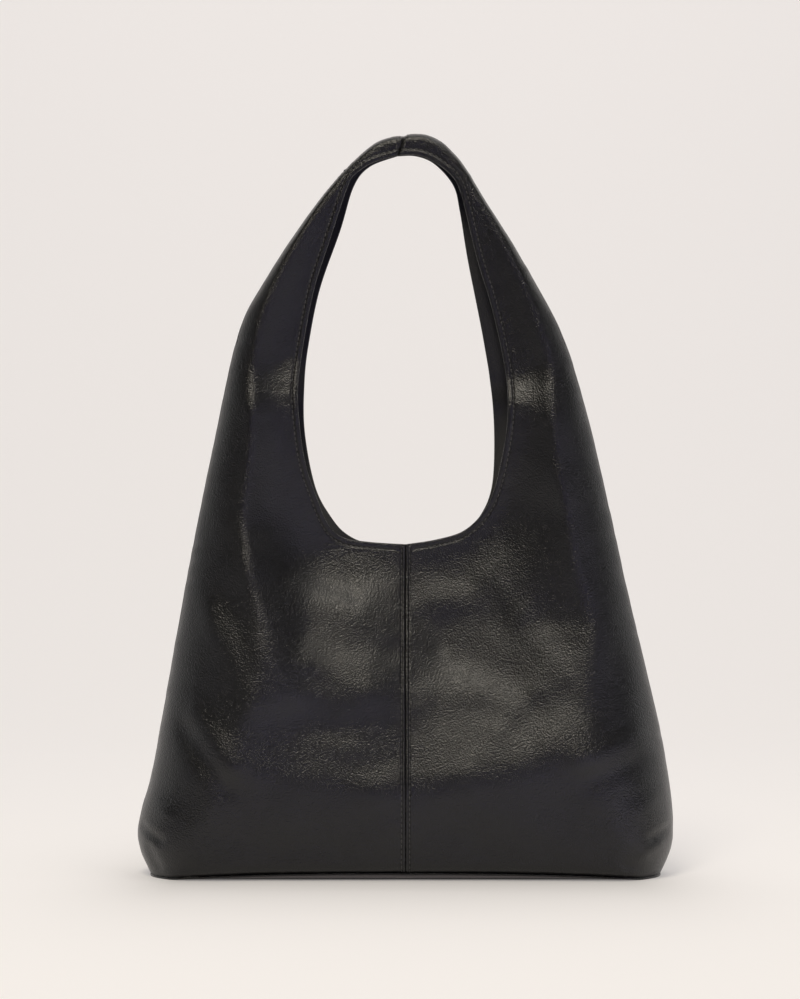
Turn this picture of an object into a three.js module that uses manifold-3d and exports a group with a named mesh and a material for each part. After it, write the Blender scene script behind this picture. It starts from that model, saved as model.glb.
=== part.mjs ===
// Hobo bag: four leather panels that run up into the handle, with facings, lining, base,
// magnetic snap and a zipped inner pocket. Millimetres, +Z up, front towards -Y,
// origin on the floor under the middle of the bag.
import * as THREE from 'three';
import { mergeVertices } from 'three/addons/utils/BufferGeometryUtils.js';
import Module from 'manifold-3d';

const wasm = await Module();
wasm.setup();

// Driving dimensions
const gap = 0.4;               // clearance between neighbouring pieces
const leather = 1.6;           // outer leather
const facingLeather = 1.2;
const cloth = 0.8;             // lining cloth
const facingInset = 3.2;       // outer face of the leather to the facing
const liningInset = 10;        // outer face of the leather to the lining where it hangs free
const baseTop = leather;       // the base panel lies on the floor
const panelFoot = baseTop + gap;
const boardThickness = 2;
const mouthHeight = 246.8;     // middle of the mouth, above the floor
const liningTop = 197;         // seam between lining and facing
const foldBottom = 292;        // the handle folds between these two heights
const foldTop = 368;
const topSeamX = 1;            // cross seam at the top of the handle
const handleTop = 553.8;
const seamHeights = [panelFoot, 30, 65, 105, 150, liningTop, 214, mouthHeight];
const columns = 9;             // steps from the side seam to the centre seam
const snap = { height: 229, depth: 7.4, radius: 9, flatRadius: 24, fadeRadius: 46 };
const zip = { height: 165.5, length: 148, windowHeight: 12, sliderX: 62 };

// Half depth of the bag by height, and how far in from the side seam it is reached
const depthByHeight = new THREE.SplineCurve(points([
  [0, 54], [60, 61], [110, 61], [200, 50], [300, 38], [400, 28], [480, 22], [555, 17]]));
const roundingByHeight = new THREE.SplineCurve(points([
  [0, 34], [60, 60], [150, 96], [250, 100], [330, 60], [420, 34], [500, 20], [555, 15]]));

// Side seams seen from the front, from the floor to the top of the handle
const sideSeam = {
  left: new THREE.SplineCurve(points([
    [-191, panelFoot], [-198, 18], [-200, 32], [-197, 50], [-190, 74], [-181, 123], [-163, 224], [-145, 314],
    [-125, 404], [-102, 449], [-72, 494], [-45, 527], [-24, 546], [topSeamX, handleTop]])),
  right: new THREE.SplineCurve(points([
    [191, panelFoot], [198, 18], [200, 32], [199, 55], [192, 100], [182, 145], [166, 212], [151, 280],
    [135, 347], [117, 404], [87, 460], [59, 505], [43, 531], [27, 547], [topSeamX, handleTop]])),
};

// Edge of the opening, from the middle of the mouth to the top of the handle
const openingEdge = {
  frontLeft: new THREE.SplineCurve(points([
    [0, mouthHeight], [-28, 248.6], [-47, 252], [-58, 262], [-66, 281], [-75, 309], [-80, 350], [-79, 378],
    [-69, 434], [-56, 475], [-41, 515], [-28, 528], [topSeamX, 537]])),
  frontRight: new THREE.SplineCurve(points([
    [0, mouthHeight], [24, 250.5], [44, 257], [59, 272], [68, 294], [75, 331], [76, 360], [73, 385],
    [64, 425], [53, 461], [42, 508], [28, 528], [topSeamX, 537]])),
  backLeft: new THREE.SplineCurve(points([
    [0, mouthHeight - 3], [-27, 247], [-44, 254], [-56, 267], [-68, 290], [-76, 332], [-76, 370],
    [-72, 402], [-64, 440], [-49, 483], [-38, 515], [-27, 528], [topSeamX, 537]])),
  backRight: new THREE.SplineCurve(points([
    [0, mouthHeight - 3], [24, 247], [43, 254], [57, 269], [65, 290], [67, 325], [65, 360], [58, 404],
    [47, 460], [41, 497], [36, 515], [26, 528], [topSeamX, 537]])),
};

function points(pairs) {
  return pairs.map(([x, z]) => new THREE.Vector2(x, z));
}

// Fraction along a curve where its second coordinate reaches a height
function fractionAtHeight(curve, height) {
  let low = 0;
  let high = 1;
  for (let step = 0; step < 30; step += 1) {
    const middle = (low + high) / 2;
    if (curve.getPointAt(middle).y < height) low = middle;
    else high = middle;
  }
  return (low + high) / 2;
}

const atHeight = (curve, height) => curve.getPointAt(fractionAtHeight(curve, height));

// Value of a curve drawn over height, read at one height
function valueAt(curve, height) {
  let low = 0;
  let high = 1;
  for (let step = 0; step < 24; step += 1) {
    const middle = (low + high) / 2;
    if (curve.getPoint(middle).x < height) low = middle;
    else high = middle;
  }
  return curve.getPoint(low).y;
}

// Distance from a line of points, negative on its left-hand side
function distanceTo(line, x, z) {
  let best = Infinity;
  for (let k = 1; k < line.length; k += 1) {
    const a = line[k - 1];
    const b = line[k];
    const [dx, dz] = [b.x - a.x, b.y - a.y];
    const along = THREE.MathUtils.clamp(((x - a.x) * dx + (z - a.y) * dz) / (dx * dx + dz * dz), 0, 1);
    const distance = Math.hypot(x - a.x - along * dx, z - a.y - along * dz);
    if (distance < Math.abs(best)) best = (x - a.x) * dz - (z - a.y) * dx < 0 ? -distance : distance;
  }
  return best;
}

const joined = (left, right, count) => [
  ...left.getSpacedPoints(count), ...right.getSpacedPoints(count).reverse().slice(1)];
const sideLine = joined(sideSeam.left, sideSeam.right, 90);
const openingLine = {
  front: joined(openingEdge.frontLeft, openingEdge.frontRight, 60),
  back: joined(openingEdge.backLeft, openingEdge.backRight, 60),
};

function smoothMin(a, b, softness) {
  const share = Math.max(softness - Math.abs(a - b), 0) / softness;
  return Math.min(a, b) - share * share * softness / 4;
}

const fromSides = (x, z) => Math.max(distanceTo(sideLine, x, z), 0);

// Half depth of the outer leather: a round belly, drawn in around the mouth and handle opening
function halfDepth(face, x, z) {
  const reach = Math.min(fromSides(x, z) / valueAt(roundingByHeight, z), 1);
  const belly = valueAt(depthByHeight, z) * Math.sqrt(reach * (2 - reach));
  const fromOpening = Math.abs(distanceTo(openingLine[face], x, z));
  const edgeDepth = snap.depth + 8.6 * THREE.MathUtils.smoothstep(z, mouthHeight, 340);
  const drawnIn = edgeDepth + 0.5 * (Math.hypot(fromOpening, 60) - 60);
  const fromSnap = Math.hypot(x / 2, z - snap.height);
  const flat = 1 - THREE.MathUtils.smoothstep(fromSnap, snap.flatRadius, snap.fadeRadius);
  const held = THREE.MathUtils.lerp(drawnIn, snap.depth, flat);
  return smoothMin(belly, held, 10 * (1 - flat) + 0.01);
}

// Outward normal of the leather, front or back
function normalAt(face, x, z) {
  const step = 0.05;
  const slopeX = (halfDepth(face, x + step, z) - halfDepth(face, x - step, z)) / (2 * step);
  const slopeZ = (halfDepth(face, x, z + step) - halfDepth(face, x, z - step)) / (2 * step);
  return new THREE.Vector3(-slopeX, face === 'front' ? -1 : 1, -slopeZ).normalize();
}

// Rows across a quarter of the bag, each from the side seam to the centre seam or the opening
const sideShare = 0.985;         // the rows sink a little towards the side seam

function seamRow(hand, height) {
  const side = atHeight(sideSeam[hand], height * sideShare);
  return { outer: side, inner: new THREE.Vector2(0, height), onSeam: true };
}

function levelSeamRow(hand, height) {
  const side = atHeight(sideSeam[hand], height);
  return { outer: side, inner: new THREE.Vector2(0, height), onSeam: true, level: true };
}

function cornerRows(hand, face, top, count) {
  const edge = openingEdge[face + (hand === 'left' ? 'Left' : 'Right')];
  const end = fractionAtHeight(edge, top);
  const rows = [];
  for (let k = 1; k <= count; k += 1) {
    const height = THREE.MathUtils.lerp(mouthHeight * sideShare, top, k / count);
    rows.push({ outer: atHeight(sideSeam[hand], height), inner: edge.getPointAt(end * k / count) });
  }
  rows[count - 1].level = true;
  return rows;
}

function levelRow(hand, face, height) {
  const edge = openingEdge[face + (hand === 'left' ? 'Left' : 'Right')];
  return { outer: atHeight(sideSeam[hand], height), inner: atHeight(edge, height) };
}

function handleRows(hand, face, bottom, count) {
  const edge = openingEdge[face + (hand === 'left' ? 'Left' : 'Right')];
  const side = sideSeam[hand];
  const edgeStart = fractionAtHeight(edge, bottom);
  const sideStart = fractionAtHeight(side, bottom);
  const rows = [];
  for (let k = 0; k <= count; k += 1) {
    const share = k / count;
    rows.push({
      outer: side.getPointAt(THREE.MathUtils.lerp(sideStart, 1, share)),
      inner: edge.getPointAt(THREE.MathUtils.lerp(edgeStart, 1, share)),
    });
  }
  rows[0].level = true;
  rows[count].atTop = true;
  return rows;
}

// Points and normals along one row, closer together near the side seam
function rowPoints(hand, face, row, seamGap) {
  const fine = 48;
  const sign = face === 'front' ? -1 : 1;
  const inward = hand === 'left' ? 1 : -1;
  const inner = row.inner.clone();
  const outer = row.outer.clone();
  if (row.onSeam) inner.x -= inward * seamGap;
  if (row.atTop) {
    inner.x -= inward * seamGap;
    outer.x -= inward * seamGap;
  }
  const outward = row.atTop ? new THREE.Vector2(0, 1) : outer.clone().sub(inner).normalize();
  const samples = [];
  for (let k = 0; k <= fine; k += 1) {
    const flat = outer.clone().lerp(inner, (k / fine) ** 2);
    const depth = Math.max(halfDepth(face, flat.x, flat.y), 0) + seamGap;
    samples.push(new THREE.Vector3(flat.x, sign * depth, flat.y));
  }
  samples[0].y = sign * seamGap;
  const lengths = [0];
  for (let k = 1; k <= fine; k += 1) lengths.push(lengths[k - 1] + samples[k].distanceTo(samples[k - 1]));
  const result = [];
  for (let j = 0; j <= columns; j += 1) {
    const wanted = lengths[fine] * (j / columns) ** 1.4;
    let k = 1;
    while (k < fine && lengths[k] < wanted) k += 1;
    const share = (wanted - lengths[k - 1]) / (lengths[k] - lengths[k - 1]);
    const point = samples[k - 1].clone().lerp(samples[k], share);
    const normal = normalAt(face, point.x, point.z);
    if (fromSides(point.x, point.z) < 1) {
      const rise = Math.abs(samples[k].y - samples[k - 1].y);
      const run = Math.hypot(samples[k].x - samples[k - 1].x, samples[k].z - samples[k - 1].z);
      normal.set(outward.x * rise, sign * run, outward.y * rise);
    }
    if (j === 0) normal.set(outward.x, 0, outward.y);
    if (row.onSeam && j === columns) normal.x = 0;
    if (row.level) normal.z = 0;
    if (row.atTop) normal.x = 0;
    result.push({ point, normal: normal.normalize() });
  }
  return result;
}

const inset = (entry, depth) => entry.point.clone().addScaledVector(entry.normal, -depth);

// Closed shell between two grids of points, row by row
function shell(outside, inside) {
  const rows = outside.length;
  const across = outside[0].length;
  const positions = [];
  for (const grid of [outside, inside]) {
    for (const row of grid) for (const point of row) positions.push(point.x, point.y, point.z);
  }
  const at = (layer, r, c) => layer * rows * across + r * across + c;
  const index = [];
  const quad = (a, b, c, d) => index.push(a, b, c, a, c, d);
  for (let r = 0; r < rows - 1; r += 1) {
    for (let c = 0; c < across - 1; c += 1) {
      quad(at(0, r, c), at(0, r, c + 1), at(0, r + 1, c + 1), at(0, r + 1, c));
      quad(at(1, r, c), at(1, r + 1, c), at(1, r + 1, c + 1), at(1, r, c + 1));
    }
    quad(at(0, r, 0), at(0, r + 1, 0), at(1, r + 1, 0), at(1, r, 0));
    quad(at(0, r, across - 1), at(1, r, across - 1), at(1, r + 1, across - 1), at(0, r + 1, across - 1));
  }
  for (let c = 0; c < across - 1; c += 1) {
    quad(at(0, 0, c), at(1, 0, c), at(1, 0, c + 1), at(0, 0, c + 1));
    quad(at(0, rows - 1, c), at(0, rows - 1, c + 1), at(1, rows - 1, c + 1), at(1, rows - 1, c));
  }
  const geometry = new THREE.BufferGeometry();
  geometry.setAttribute('position', new THREE.Float32BufferAttribute(positions, 3));
  geometry.setIndex(index);
  return signedVolume(geometry) < 0 ? flipped(geometry) : geometry;
}

function signedVolume(geometry) {
  const position = geometry.getAttribute('position');
  const corner = (k) => new THREE.Vector3().fromBufferAttribute(position, geometry.index.getX(k));
  let volume = 0;
  for (let k = 0; k < geometry.index.count; k += 3) {
    volume += corner(k).dot(corner(k + 1).cross(corner(k + 2))) / 6;
  }
  return volume;
}

function flipped(geometry) {
  const index = geometry.index.array;
  for (let k = 0; k < index.length; k += 3) {
    [index[k + 1], index[k + 2]] = [index[k + 2], index[k + 1]];
  }
  return geometry;
}

function toSolid(geometry) {
  const bare = geometry.clone();
  bare.deleteAttribute('normal');
  bare.deleteAttribute('uv');
  const merged = mergeVertices(bare, 1e-4);
  return new wasm.Manifold(new wasm.Mesh({
    numProp: 3,
    vertProperties: new Float32Array(merged.attributes.position.array),
    triVerts: new Uint32Array(merged.index.array),
  }));
}

function fromSolid(solid) {
  const mesh = solid.getMesh();
  const geometry = new THREE.BufferGeometry();
  geometry.setAttribute('position', new THREE.BufferAttribute(mesh.vertProperties, 3));
  geometry.setIndex(new THREE.BufferAttribute(mesh.triVerts, 1));
  return geometry;
}

function boxBetween(low, high) {
  const size = high.map((value, k) => value - low[k]);
  const box = new THREE.BoxGeometry(...size);
  return box.translate(...low.map((value, k) => value + size[k] / 2));
}

const materials = {
  outer: new THREE.MeshStandardMaterial({ color: 0x17161a, roughness: 0.42, metalness: 0 }),
  facing: new THREE.MeshStandardMaterial({ color: 0x1b1a1d, roughness: 0.55, metalness: 0 }),
  lining: new THREE.MeshStandardMaterial({ color: 0x2b292b, roughness: 0.9, metalness: 0 }),
  board: new THREE.MeshStandardMaterial({ color: 0x3a3733, roughness: 0.8, metalness: 0 }),
  tape: new THREE.MeshStandardMaterial({ color: 0x151417, roughness: 0.85, metalness: 0 }),
  metal: new THREE.MeshStandardMaterial({ color: 0x8d877c, roughness: 0.3, metalness: 1 }),
};

const bag = new THREE.Group();

function add(name, geometry, material, parent = bag) {
  const mesh = new THREE.Mesh(geometry, materials[material]);
  mesh.name = name;
  parent.add(mesh);
  return mesh;
}

// Outer leather and facing of one quarter, each cut at the two ends of the fold
function addQuarter(face, hand) {
  const name = `${face}_${hand}`;
  const toPoints = (rows) => rows.map((row) => rowPoints(hand, face, row, gap / 2));
  const shellOf = (rows, from, to) => shell(
    rows.map((row) => row.map((entry) => inset(entry, from))),
    rows.map((row) => row.map((entry) => inset(entry, to))));

  const seamRows = seamHeights.slice(1).map((height) => seamRow(hand, height));
  const corner = cornerRows(hand, face, foldBottom - gap / 2, 3);
  const body = toPoints([levelSeamRow(hand, panelFoot), ...seamRows, ...corner]);
  const facingRows = seamHeights.filter((height) => height > liningTop);
  const upper = facingRows.map((height) => seamRow(hand, height));
  const facingBody = toPoints([levelSeamRow(hand, liningTop + gap / 2), ...upper, ...corner]);
  const fold = toPoints([foldBottom + gap / 2, (foldBottom + foldTop) / 2, foldTop - gap / 2].map(
    (height) => ({ ...levelRow(hand, face, height), level: true })));
  const handle = toPoints(handleRows(hand, face, foldTop + gap / 2, 8));

  add(`${name}_panel`, shellOf(body, 0, leather), 'outer');
  add(`${name}_panel_fold`, shellOf(fold, 0, leather), 'outer');
  add(`${name}_panel_handle`, shellOf(handle, 0, leather), 'outer');
  add(`${name}_facing`, shellOf(facingBody, facingInset, facingInset + facingLeather), 'facing');
  add(`${name}_facing_fold`, shellOf(fold, facingInset, facingInset + facingLeather), 'facing');
  add(`${name}_facing_handle`, shellOf(handle, facingInset, facingInset + facingLeather), 'facing');
}

// Lining: hangs free of the leather and is drawn straight across the middle of the bag
const flatHalfWidth = 100;
const liningFoot = panelFoot + boardThickness + gap + cloth + gap;
const liningHeights = [liningFoot, ...seamHeights.slice(1, 5), 181, liningTop - gap / 2];

function spineDepth(face, z) {
  const above = Math.max(1, liningHeights.findIndex((height) => height >= z));
  const [low, high] = [liningHeights[above - 1], liningHeights[above]];
  return THREE.MathUtils.mapLinear(z, low, high, halfDepth(face, 0, low), halfDepth(face, 0, high));
}

function liningGrid(face, depthBeyond) {
  return liningHeights.map((height) => {
    const row = (hand) => rowPoints(hand, face, levelSeamRow(hand, height), 0);
    const free = 1 - THREE.MathUtils.smoothstep(height, 184, liningTop);
    const depth = THREE.MathUtils.lerp(facingInset, liningInset, free) + depthBeyond;
    const place = (entry) => {
      const point = inset(entry, depth);
      const limit = spineDepth(face, height) - depth + Math.max(Math.abs(point.x) - flatHalfWidth, 0);
      if (free > 0) point.y = THREE.MathUtils.clamp(point.y, -limit, limit);
      return point;
    };
    const left = row('left').map(place);
    const right = row('right').map(place).reverse().slice(1);
    left[0].y = Math.sign(left[columns].y) * gap / 2;
    right[columns - 1].y = left[0].y;
    return [...left, ...right];
  });
}

function addBase() {
  const outlineAt = (depth) => {
    const around = [];
    for (const [hand, face] of [['left', 'front'], ['right', 'front'], ['right', 'back'], ['left', 'back']]) {
      const row = rowPoints(hand, face, levelSeamRow(hand, panelFoot), 0);
      const quarter = row.map((entry) => inset(entry, depth));
      const inOrder = (hand === 'left') === (face === 'front') ? quarter : quarter.reverse();
      around.push(...inOrder.slice(0, -1).map((point) => new THREE.Vector2(point.x, point.y)));
    }
    return new THREE.Shape(around);
  };
  const slab = (depth, bottom, thickness) => new THREE.ExtrudeGeometry(
    outlineAt(depth), { depth: thickness, bevelEnabled: false }).translate(0, 0, bottom);
  add('base_panel', slab(0, 0, leather), 'outer');
  add('base_board', slab(6, panelFoot, boardThickness), 'board');
  add('base_lining', slab(3, panelFoot + boardThickness + gap, cloth), 'lining');
}

// Magnetic snap, closed, with its axis front to back
function addSnap() {
  const half = snap.depth - facingInset - facingLeather - gap;
  const lathe = (profile, steps) => new THREE.LatheGeometry(points(profile), steps);
  const r = snap.radius;
  const socket = lathe([[0, 0], [r - 0.8, 0], [r, 0.8], [r, 1.8], [r - 0.8, 2.6], [4.6, 2.6], [4.2, 1.2], [0, 1.2]], 24);
  const stud = lathe([[0, 0], [r - 0.8, 0], [r, 0.8], [r, 1.4], [r - 0.8, 2.2], [3.8, 2.2], [3.5, 3.2], [0, 3.2]], 24);
  const washer = lathe([[2, 0], [8, 0], [8, 0.8], [2, 0.8], [2, 0]], 20);
  const washerY = snap.depth - leather - gap;
  const place = (mesh, y) => {
    mesh.rotation.x = y > 0 ? Math.PI : 0;
    mesh.position.set(0, y, snap.height);
  };
  place(add('snap_socket', socket, 'metal'), -half);
  place(add('snap_stud', stud, 'metal'), half);
  place(add('snap_front_washer', washer, 'metal'), -washerY);
  place(add('snap_back_washer', washer.clone(), 'metal'), washerY);
}

// Zipped pocket in the back lining. Local axes: X along the zip, Y into the wall, Z up it.
function zipPlace() {
  const faceDepth = (z) => spineDepth('back', z) - liningInset - cloth;
  const slope = (faceDepth(zip.height + 10) - faceDepth(zip.height - 10)) / 20;
  return { depth: faceDepth(zip.height), tilt: -Math.atan(slope) };
}

const zipAt = zipPlace();

function zipGroup() {
  const group = new THREE.Group();
  group.position.set(0, zipAt.depth, zip.height);
  group.rotation.x = zipAt.tilt;
  bag.add(group);
  return group;
}

function frameGeometry(outerX, outerZ, innerX, innerZ, thickness) {
  const rounded = (halfX, halfZ, radius) => {
    const path = new THREE.Path();
    path.absarc(halfX - radius, halfZ - radius, radius, 0, Math.PI / 2);
    path.absarc(-halfX + radius, halfZ - radius, radius, Math.PI / 2, Math.PI);
    path.absarc(-halfX + radius, -halfZ + radius, radius, Math.PI, Math.PI * 1.5);
    path.absarc(halfX - radius, -halfZ + radius, radius, Math.PI * 1.5, Math.PI * 2);
    return path;
  };
  const shape = new THREE.Shape(rounded(outerX, outerZ, Math.min(outerX, outerZ, 4) * 0.6).getPoints(3));
  shape.holes.push(new THREE.Path(rounded(innerX, innerZ, Math.min(innerX, innerZ, 4) * 0.5).getPoints(3)));
  return new THREE.ExtrudeGeometry(shape, { depth: thickness, bevelEnabled: false });
}

// One tape with its coil: the profile gives the distance behind the lining's face and the height
function tapeGeometry() {
  const profile = points([
    [1.7, 14], [1.7, 3], [2.45, 2.7], [2.45, 1], [0.45, 1], [0.45, 2.7], [1.2, 3], [1.2, 14]]);
  const tape = new THREE.ExtrudeGeometry(new THREE.Shape(profile), { depth: zip.length, bevelEnabled: false });
  tape.rotateY(Math.PI / 2).rotateX(Math.PI / 2).translate(-zip.length / 2, 0, 0);
  return tape;
}

function sliderGeometry() {
  const back = boxBetween([-5, 2.75, -4], [5, 3.6, 4]);
  const post = boxBetween([2.5, 0, -0.5], [4.5, 3, 0.5]);
  const front = boxBetween([-5, -0.75, -4], [5, 0.15, 4]);
  const leg = (x) => boxBetween([x - 0.6, -4.4, -0.8], [x + 0.6, -0.5, 0.8]);
  const bar = boxBetween([-4, -4.4, -0.8], [4, -3.4, 0.8]);
  return fromSolid([post, front, leg(-3.4), leg(3.4), bar].map(toSolid).reduce(
    (whole, piece) => whole.add(piece), toSolid(back)));
}

function addZip() {
  const group = zipGroup();
  const tape = tapeGeometry();
  const welt = frameGeometry(zip.length / 2 + 10, 13, zip.length / 2 + 2, 5, 1.2);
  welt.rotateX(Math.PI / 2).translate(0, -gap, 0);
  add('zip_welt', welt, 'facing', group);
  add('zip_upper_tape', tape, 'tape', group);
  add('zip_lower_tape', tape.clone().rotateX(Math.PI).translate(0, 2.9, 0), 'tape', group);
  for (const [name, side] of [['zip_left_stop', -1], ['zip_right_stop', 1]]) {
    const near = zip.length / 2 + gap;
    const stop = boxBetween([near, 0.3, -2.4], [near + 1.6, 2.6, 2.4]);
    add(name, side < 0 ? stop.rotateZ(Math.PI).translate(0, 2.9, 0) : stop, 'metal', group);
  }
  const slider = add('zip_slider', sliderGeometry(), 'metal', group);
  slider.position.x = zip.sliderX;
  addPull(group);
}

// The stirrup hangs straight down from the slider's bar, with the tab looped through it
function addPull(group) {
  const bar = new THREE.Vector3(zip.sliderX, -3.9, 0).applyAxisAngle(new THREE.Vector3(1, 0, 0), zipAt.tilt);
  bar.add(group.position);
  const stirrup = frameGeometry(4.6, 4.8, 3.6, 3.8, 1.2);
  stirrup.rotateY(Math.PI / 2).rotateX(Math.PI / 2).translate(-0.6, -2.6, -2.6);
  add('zip_pull_stirrup', stirrup, 'metal').position.copy(bar);
  const loop = new THREE.Shape();
  loop.absarc(0, 0, 1.9, 0, Math.PI);
  loop.lineTo(-1.3, -3);
  loop.lineTo(-1.3, -26);
  loop.lineTo(1.3, -26);
  loop.lineTo(1.3, -3);
  loop.closePath();
  loop.holes.push(new THREE.Path().absarc(0, 0, 1.1, 0, Math.PI * 2, true));
  const tab = new THREE.ExtrudeGeometry(loop, { depth: 5.6, bevelEnabled: false, curveSegments: 8 });
  tab.rotateX(Math.PI / 2).translate(0, 2.8 - 2.6, -2.6 - 4.3);
  add('zip_pull_tab', tab, 'facing').position.copy(bar);
}

// Inner pieces that follow the lining over part of its width
function liningPatch(face, halfWidth, top, bottom, depthAt, count) {
  const sign = face === 'front' ? -1 : 1;
  const build = (side) => {
    const rows = [];
    for (let r = 0; r <= count; r += 1) {
      const place = depthAt(r / count, side);
      const z = THREE.MathUtils.lerp(top, bottom, place.down);
      const y = sign * (spineDepth(face, z) - liningInset - place.depth);
      rows.push([-1, -0.5, 0, 0.5, 1].map((share) => new THREE.Vector3(share * halfWidth, y, z)));
    }
    return rows;
  };
  return shell(build(0), build(1));
}

function addPockets() {
  const slip = (share, side) => ({ down: share, depth: cloth + 2 * gap + side * cloth });
  add('slip_pocket', liningPatch('front', 66, 178, 84, slip, 4), 'lining');
  // Folded pouch behind the lining: down the near ply, round the fold and up the far ply
  const pouch = (share, side) => {
    const offset = side * 0.6;
    if (share < 0.45) return { down: share / 0.45 * (1 - offset / 90), depth: -2.9 - offset };
    if (share > 0.55) return { down: (1 - share) / 0.45 * (1 - offset / 90), depth: -4.9 + offset };
    return { down: 1 + (1.4 - offset) / 90, depth: -3.9 };
  };
  add('pocket_bag', liningPatch('back', 84, 150, 60, pouch, 20), 'lining');
}

for (const face of ['front', 'back']) {
  for (const hand of ['left', 'right']) addQuarter(face, hand);
}
addBase();
add('front_lining', shell(liningGrid('front', 0), liningGrid('front', cloth)), 'lining');
const slit = boxBetween([-zip.length / 2 - 2, -8, -zip.windowHeight / 2], [zip.length / 2 + 2, 8, zip.windowHeight / 2]);
slit.rotateX(zipAt.tilt).translate(0, zipAt.depth, zip.height);
const backLining = toSolid(shell(liningGrid('back', 0), liningGrid('back', cloth)));
add('back_lining', fromSolid(backLining.subtract(toSolid(slit))), 'lining');
addSnap();
addZip();
addPockets();

export default bag;
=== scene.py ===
import math

import bmesh
import bpy
import numpy as np
from mathutils import Matrix, Vector


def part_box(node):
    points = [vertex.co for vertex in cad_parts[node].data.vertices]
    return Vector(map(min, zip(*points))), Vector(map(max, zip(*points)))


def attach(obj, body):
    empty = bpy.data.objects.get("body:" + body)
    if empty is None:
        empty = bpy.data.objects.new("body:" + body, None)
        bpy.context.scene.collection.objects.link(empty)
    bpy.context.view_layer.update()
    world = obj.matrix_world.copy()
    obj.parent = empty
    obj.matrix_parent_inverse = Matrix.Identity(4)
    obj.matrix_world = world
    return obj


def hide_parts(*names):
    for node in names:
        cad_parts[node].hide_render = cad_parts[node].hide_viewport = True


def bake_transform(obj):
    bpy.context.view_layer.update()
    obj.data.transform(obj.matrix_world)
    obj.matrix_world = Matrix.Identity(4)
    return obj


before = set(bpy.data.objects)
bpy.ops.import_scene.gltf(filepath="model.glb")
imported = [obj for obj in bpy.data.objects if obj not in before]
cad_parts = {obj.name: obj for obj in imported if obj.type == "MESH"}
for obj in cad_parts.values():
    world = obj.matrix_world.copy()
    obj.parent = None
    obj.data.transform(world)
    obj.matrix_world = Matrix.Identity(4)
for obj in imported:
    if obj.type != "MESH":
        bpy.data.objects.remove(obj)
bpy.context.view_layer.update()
scene = bpy.context.scene
scene.view_settings.view_transform = "Standard"
mm = 0.001  # shapes are drawn in millimetres and made in metres
print("frame loaded")

# Outlines seen from the front, as (x, z) from the floor to the top of the handle
sideSeam = {
    "left": [(-191, 2), (-198, 18), (-200, 32), (-197, 50), (-190, 74), (-181, 123), (-163, 224),
             (-145, 314), (-125, 404), (-102, 449), (-72, 494), (-45, 527), (-24, 546), (-10, 551.6),
             (-1, 552.6)],
    "right": [(191, 2), (198, 18), (200, 32), (199, 55), (192, 100), (182, 145), (166, 212),
              (151, 280), (135, 347), (117, 404), (87, 460), (59, 505), (43, 531), (28, 547), (16, 553),
              (6, 553.8), (-1, 552.6)],
}
# From the middle of the mouth to the top of the handle
openingEdge = {
    ("front", "left"): [(0, 246.8), (-28, 248.6), (-47, 252), (-58, 262), (-66, 281), (-75, 309),
                        (-80, 350), (-79, 378), (-69, 434), (-56, 475), (-43, 514), (-37, 523.3),
                        (-24.5, 531.3), (-5.6, 537)],
    ("front", "right"): [(0, 246.8), (24, 250.5), (44, 257), (59, 272), (68, 294), (75, 331), (76, 360),
                         (73, 385), (64, 425), (53, 461), (42, 506), (35, 521), (21, 532.2), (9, 537),
                         (-5.6, 537)],
    ("back", "left"): [(0, 243.8), (-27, 247), (-44, 254), (-56, 267), (-68, 290), (-76, 332),
                       (-76, 370), (-72, 402), (-64, 440), (-49, 483), (-39, 516), (-27, 531), (-6, 539)],
    ("back", "right"): [(0, 243.8), (24, 247), (43, 254), (57, 269), (65, 290), (67, 325), (65, 360),
                        (58, 404), (47, 460), (41, 497), (36, 517), (22, 533), (8, 539), (-6, 539)],
}
bag = {
    "mouth": {"front": 246.8, "back": 243.8},  # middle of the mouth
    "foldBottom": 292,
    "foldTop": 368,
    "foot": 1.2,            # where the panels turn under
    "rollUnder": 9,
    "leather": 1.6,
    "snapHeight": 229,
    "snapDepth": 7.4,
}


def catmull(points, perSpan=14):
    p = np.array(points, float)
    t = np.linspace(0, 1, perSpan, endpoint=False)[:, None]
    spans = []
    for i in range(len(p) - 1):
        a, b, c, d = p[max(i - 1, 0)], p[i], p[i + 1], p[min(i + 2, len(p) - 1)]
        start, end = (c - a) / 2, (d - b) / 2
        cubic, square = 2 * b - 2 * c + start + end, 3 * c - 3 * b - 2 * start - end
        spans.append(cubic * t ** 3 + square * t ** 2 + start * t + b)
    return np.vstack(spans + [p[-1:]])


def lengthsAlong(line):
    return np.concatenate([[0], np.cumsum(np.linalg.norm(np.diff(line, axis=0), axis=1))])


def alongLine(line, share):
    lengths = lengthsAlong(line)
    wanted = np.asarray(share) * lengths[-1]
    return np.stack([np.interp(wanted, lengths, line[:, k]) for k in range(line.shape[1])], -1)


def shareAtHeight(line, z):
    lengths = lengthsAlong(line)
    return np.interp(z, line[:, 1], lengths) / lengths[-1]


def smooth(value, low, high):
    t = np.clip((value - low) / (high - low), 0, 1)
    return t * t * (3 - 2 * t)


def bump(value, middle, width):
    return np.exp(-((value - middle) / width) ** 2)


def distanceTo(line, x, z):
    a, b = line[:-1], line[1:]
    d = b - a
    size = (d ** 2).sum(1)
    shape = x.shape
    x, z = x.ravel(), z.ravel()
    result = np.empty(len(x))
    for k in range(0, len(x), 20000):
        px = x[k:k + 20000, None] - a[:, 0]
        pz = z[k:k + 20000, None] - a[:, 1]
        t = np.clip((px * d[:, 0] + pz * d[:, 1]) / size, 0, 1)
        away = (px - t * d[:, 0]) ** 2 + (pz - t * d[:, 1]) ** 2
        result[k:k + 20000] = np.sqrt(away.min(1))
    return result.reshape(shape)


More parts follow.
